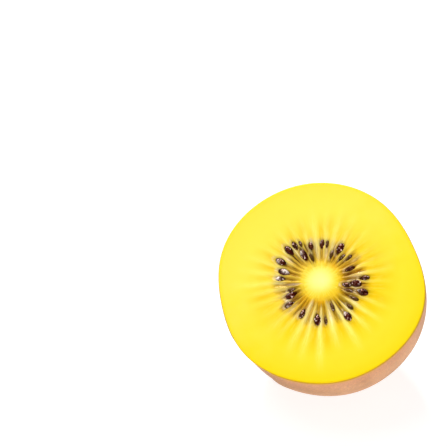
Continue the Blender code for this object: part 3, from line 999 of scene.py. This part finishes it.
def pulp_material():
    """Flesh and core: one colour run along the reach, under layers for all that the face shows."""
    n = Nodes("kiwi_pulp")
    fruit = n.attribute("fruit", "Vector")
    polar = n.attribute("polar", "Vector")
    reach = n.attribute("reach")
    mottle = n.noise(fruit, 0.16, 3.0)
    fine = n.noise(fruit, 1.6, 4.0, 0.6)
    # Fibres: noise drawn out along the reach
    threads = n.noise(n.scaled(polar, (24.0, 24.0, 0.3)), 1.0, 3.0, 0.65)
    broad = n.noise(n.scaled(polar, (11.0, 11.0, 0.15)), 1.0, 2.0, 0.55)
    hairs = n.noise(n.scaled(polar, (60.0, 60.0, 0.5)), 1.0, 2.0, 0.6)

    teeth = n.ramp(reach, (0.12, 0.0), (0.165, 0.2), (0.21, 0.1), (0.26, 0.0))
    uneven = n.add(n.add(reach, n.swing(mottle, 0.02)), n.swing(threads, teeth))
    run = n.ramp(
        uneven,
        (0.0, color(255, 250, 158)),
        (0.06, color(254, 247, 144)),
        (0.10, color(253, 236, 118)),
        (0.14, color(252, 220, 66)),
        (0.175, color(244, 202, 14)),
        (0.22, color(236, 186, 2)),
        (0.42, color(240, 196, 0)),
        (0.52, color(244, 208, 0)),
        (0.62, color(250, 215, 30)),
        (0.76, color(251, 221, 44)),
        (0.90, color(251, 219, 34)),
        (1.0, color(250, 214, 12)),
    )
    far_side = n.add(n.along(fruit, (-0.030, 0.025, 0.0)), mottle)
    zone = n.attribute("locule")
    outer = n.attribute("outer")
    brown = n.attribute("brown")
    olive = n.mix(n.attribute("green"), color(168, 88, 0), color(148, 110, 4))
    beam = n.ramp(
        reach,
        (0.3, color(250, 230, 148)),
        (0.38, color(255, 243, 172)),
        (0.47, color(254, 240, 122)),
        (0.6, color(255, 241, 112)),
    )
    ray = n.ramp(
        reach,
        (0.3, color(232, 198, 72)),
        (0.42, color(246, 222, 96)),
        (0.55, color(255, 232, 84)),
    )
    base = n.layered(run, [
        # The pulp: paler on the far side, deeper gold at the locules' ends
        (color(252, 231, 106), n.ramp(far_side, (0.1, 0.0), (1.0, 0.4))),
        (color(240, 192, 0), n.attribute("amber"), 0.8),
        (color(244, 200, 4), n.ramp(broad, (0.34, 0.5), (0.5, 0.0)), outer),
        (color(254, 236, 104), n.ramp(threads, (0.5, 0.0), (0.68, 0.25)), outer),
        # The locules, with the stain round each seed
        (olive, zone, 0.85),
        (color(96, 52, 14), brown, zone),
        (color(232, 164, 0), n.attribute("orange"), 0.7),
        (color(74, 30, 4), n.attribute("stain"), n.ramp(threads, (0.36, 1.0), (0.62, 0.4))),
        # Dark and light fibres in the locules
        (color(84, 42, 2), n.ramp(threads, (0.34, 1.0), (0.49, 0.0)), zone, 0.85),
        (color(80, 44, 4), n.ramp(hairs, (0.32, 1.0), (0.46, 0.0)), zone, 0.65),
        (color(238, 190, 40), n.ramp(threads, (0.55, 0.0), (0.68, 1.0)), zone,
         n.rest(n.times(brown, 0.7)), 0.7),
        (color(246, 208, 76), n.ramp(hairs, (0.58, 0.0), (0.7, 1.0)), zone, 0.5),
        # Painted glare on the lit side of each seed's rim, pale cream spots with painted glints
        # among them, and dark spots
        (color(250, 230, 184), n.attribute("glare_rims"), n.ramp(hairs, (0.38, 0.0), (0.58, 0.6))),
        (color(56, 20, 0), n.attribute("dark"), n.ramp(hairs, (0.4, 1.0), (0.65, 0.35))),
        (color(255, 240, 210), n.attribute("cream_and_glint"),
         n.ramp(hairs, (0.3, 0.15), (0.5, 0.8), (0.7, 1.0))),
        # Rays and walls, and the face's edge
        (beam, n.attribute("rays"), n.ramp(hairs, (0.34, 0.5), (0.56, 1.0))),
        (ray, n.attribute("wall"), 0.75),
        (color(253, 220, 20), n.attribute("rim"), 0.6),
        (color(198, 142, 18), n.attribute("edge")),
    ])
    height = n.add(n.times(fine, 0.5), n.times(threads, n.times(zone, 2.5)))
    dull = n.ramp(fine, (0.3, 0.34), (0.7, 0.5))
    return n.surface(
        Base_Color=base,
        Roughness=n.math("SUBTRACT", dull, n.times(zone, 0.2)),
        Specular_IOR_Level=0.22,
        Specular_Tint=color(255, 232, 110),
        Subsurface_Weight=0.12,
        Subsurface_Radius=(1.0, 0.7, 0.15),
        Subsurface_Scale=1.2 * MM,
        Normal=n.bump(height, 0.4, 0.06 * MM),
    )


def skin_material():
    """Bronze skin: cloudy browns, pale raised dots, a dry darker tip and an amber cut lip; the
    front is painted paler as if brightly lit.
    """
    n = Nodes("kiwi_skin")
    fruit = n.attribute("fruit", "Vector")
    cloud = n.noise(fruit, 0.09, 3.0, 0.5)
    grain = n.noise(fruit, 2.2, 5.0, 0.65)
    size = n.noise(fruit, 0.9, 2.0, 0.7)
    dot = n.math("DIVIDE", n.cells(fruit, 1.7), n.add(size, 0.05))
    dot = n.ramp(dot, (0.18, 1.0), (0.55, 0.0))
    # Painted light: the front and right are painted paler, as if brightly lit, with fainter dots,
    # and pink under the face
    painted_light = n.along(fruit, (0.0100, -0.0035, 0.003))
    lit_front = n.ramp(n.add(painted_light, 0.5), (0.48, 0.0), (0.62, 1.0))
    depth = n.along(fruit, (0.0, 0.0, -0.1))
    blush = n.ramp(n.add(depth, n.times(cloud, 0.3)), (0.2, 0.5), (0.75, 0.0))
    patches = n.add(n.times(lit_front, 0.5), n.noise(fruit, 0.5, 3.0, 0.7))
    browns = n.ramp(
        n.add(cloud, painted_light),
        (0.2, color(128, 70, 20)),
        (0.44, color(160, 100, 42)),
        (0.64, color(190, 132, 84)),
        (0.8, color(213, 153, 106)),
    )
    base = n.layered(browns, [
        (color(216, 142, 110), blush, lit_front),
        (color(104, 54, 16), n.ramp(grain, (0.35, 0.4), (0.65, 0.0))),
        (color(222, 164, 94), n.ramp(grain, (0.5, 0.0), (0.66, 0.55)), n.rest(n.times(lit_front, 0.7))),
        (color(236, 190, 122), dot, n.ramp(patches, (0.4, 0.7), (0.9, 0.3))),
        (color(84, 50, 28), n.ramp(n.attribute("tip_reach"), (0.07, 0.85), (0.26, 0.0))),
        (color(198, 144, 40), n.attribute("lip")),
    ])
    return n.surface(
        Base_Color=base,
        Roughness=n.ramp(grain, (0.3, 0.5), (0.7, 0.68)),
        Specular_IOR_Level=0.35,
        Sheen_Weight=0.25,
        Sheen_Roughness=0.5,
        Sheen_Tint=color(255, 214, 180),
        Normal=n.bump(n.add(n.times(dot, 0.8), n.times(grain, 0.6)), 0.5, 0.05 * MM),
    )


def seed_material():
    """Glossy, netted, dark purple-brown, with pale flecks partly painted as highlights and painted
    glints on some seeds; the sunk seeds are veiled and browner.
    """
    n = Nodes("kiwi_seed")
    own = n.attribute("own", "Vector")
    sunk = n.attribute("sunk")
    net = n.cells(own, 3.4)
    tone = n.noise(own, 0.9, 2.0)
    # Pale flecks: partly membrane on the seeds and partly painted highlights
    pale_flecks_and_highlights = n.ramp(n.noise(own, 1.7, 2.0, 0.6), (0.61, 0.0), (0.66, 1.0))
    patches = n.ramp(n.noise(own, 1.9, 2.0, 0.6), (0.4, 0.15), (0.54, 1.0))
    base = n.layered(n.ramp(tone, (0.35, color(20, 0, 0)), (0.7, color(66, 8, 0))), [
        (color(96, 20, 0), n.ramp(net, (0.35, 0.0), (0.8, 0.2))),
        (color(78, 60, 10), sunk, 1.1),
        (color(246, 214, 202), pale_flecks_and_highlights, n.rest(sunk)),
        (color(255, 240, 226), n.attribute("glint"), patches),
    ])
    return n.surface(
        Base_Color=base,
        Roughness=n.add(n.ramp(tone, (0.3, 0.1), (0.7, 0.18)), n.times(sunk, 0.4)),
        Specular_IOR_Level=0.45,
        Specular_Tint=color(255, 170, 140),
        Normal=n.bump(net, 0.7, 0.08 * MM),
    )


def style_material():
    """Dry brown threads."""
    n = Nodes("kiwi_style")
    streaks = n.noise(n.node("ShaderNodeTexCoord").outputs["Object"], 900.0, 2.0)
    base = n.ramp(streaks, (0.35, color(58, 34, 20)), (0.65, color(104, 68, 40)))
    return n.surface(Base_Color=base, Roughness=0.8)


# Floor, light and camera

CAMERA_AZIMUTH = math.radians(18.8)
CAMERA_ELEVATION = math.radians(39.8)
CAMERA_DISTANCE = 0.6
CAMERA_LENS = 199.2
SENSOR_WIDTH = 36.0
CLIP_START = 0.05
AIM_ACROSS = -23.73 * MM
AIM_UP = 13.33 * MM

FLOOR_HALF = 1.5
FLOOR_GLOW = 0.77
WHITE = (1.0, 1.0, 1.0, 1.0)
SKY_STRENGTH = 0.2
# Soft lights: position and diameter in metres, and power in watts
LIGHTS = (
    ("key", (-0.33, 0.43, 0.6), 0.24, 5.4),
    ("top", (-0.2, -0.1, 0.7), 0.5, 1.8),
    ("fill_right", (0.6, -0.4, 0.22), 0.4, 2.25),
    ("fill_left", (-0.3, -0.6, 0.2), 0.4, 0.8),
)


def build_floor():
    """A plain, nearly white floor, with a glow that keeps it bright in the shadow too."""
    corners = ((-1, -1), (1, -1), (1, 1), (-1, 1))
    mesh = bpy.data.meshes.new("floor")
    verts = [(x * FLOOR_HALF, y * FLOOR_HALF, 0.0) for x, y in corners]
    mesh.from_pydata(verts, [], [(0, 1, 2, 3)])
    n = Nodes("floor")
    tone = n.noise(n.node("ShaderNodeTexCoord").outputs["Object"], 6.0, 2.0)
    mesh.materials.append(n.surface(
        Base_Color=n.ramp(tone, (0.0, color(184, 184, 184)), (1.0, color(190, 190, 190))),
        Roughness=0.9,
        Specular_IOR_Level=0.1,
        Emission_Color=WHITE,
        Emission_Strength=FLOOR_GLOW,
    ))
    floor = add_object("floor", mesh)


def build_lights():
    """Soft round lights aimed at the cut face, under a dim white sky."""
    for name, position, diameter, power in LIGHTS:
        data = bpy.data.lights.new(name, "AREA")
        data.shape = "DISK"
        data.size = diameter
        data.energy = power
        light = add_object(name, data)
        light.location = position
        away = light.location - Vector(FACE_CENTRE)
        light.rotation_euler = away.to_track_quat("Z", "Y").to_euler()
    world = bpy.data.worlds.new("studio")
    world.use_nodes = True
    sky = world.node_tree.nodes["Background"]
    sky.inputs["Color"].default_value = WHITE
    sky.inputs["Strength"].default_value = SKY_STRENGTH
    bpy.context.scene.world = world


def build_camera():
    """The photo's view: the half sits low and right of the middle of the frame."""
    back = Vector((
        math.sin(CAMERA_AZIMUTH) * math.cos(CAMERA_ELEVATION),
        -math.cos(CAMERA_AZIMUTH) * math.cos(CAMERA_ELEVATION),
        math.sin(CAMERA_ELEVATION),
    ))
    right = Vector((math.cos(CAMERA_AZIMUTH), math.sin(CAMERA_AZIMUTH), 0.0))
    up = back.cross(right)
    centre = Vector(FACE_CENTRE)
    data = bpy.data.cameras.new("camera")
    data.lens = CAMERA_LENS
    data.sensor_width = SENSOR_WIDTH
    data.clip_start = CLIP_START
    camera = add_object("camera", data)
    camera.location = centre + back * CAMERA_DISTANCE
    aim = centre + right * AIM_ACROSS + up * AIM_UP
    camera.rotation_euler = (camera.location - aim).to_track_quat("Z", "Y").to_euler()
    bpy.context.scene.camera = camera


def main():
    pulp = pulp_material()
    build_flesh(pulp)
    build_core(pulp)
    build_skin(skin_material())
    build_seeds(seed_material())
    build_styles(style_material())
    build_floor()
    build_lights()
    build_camera()
    bpy.context.scene.view_settings.view_transform = "Standard"


main()
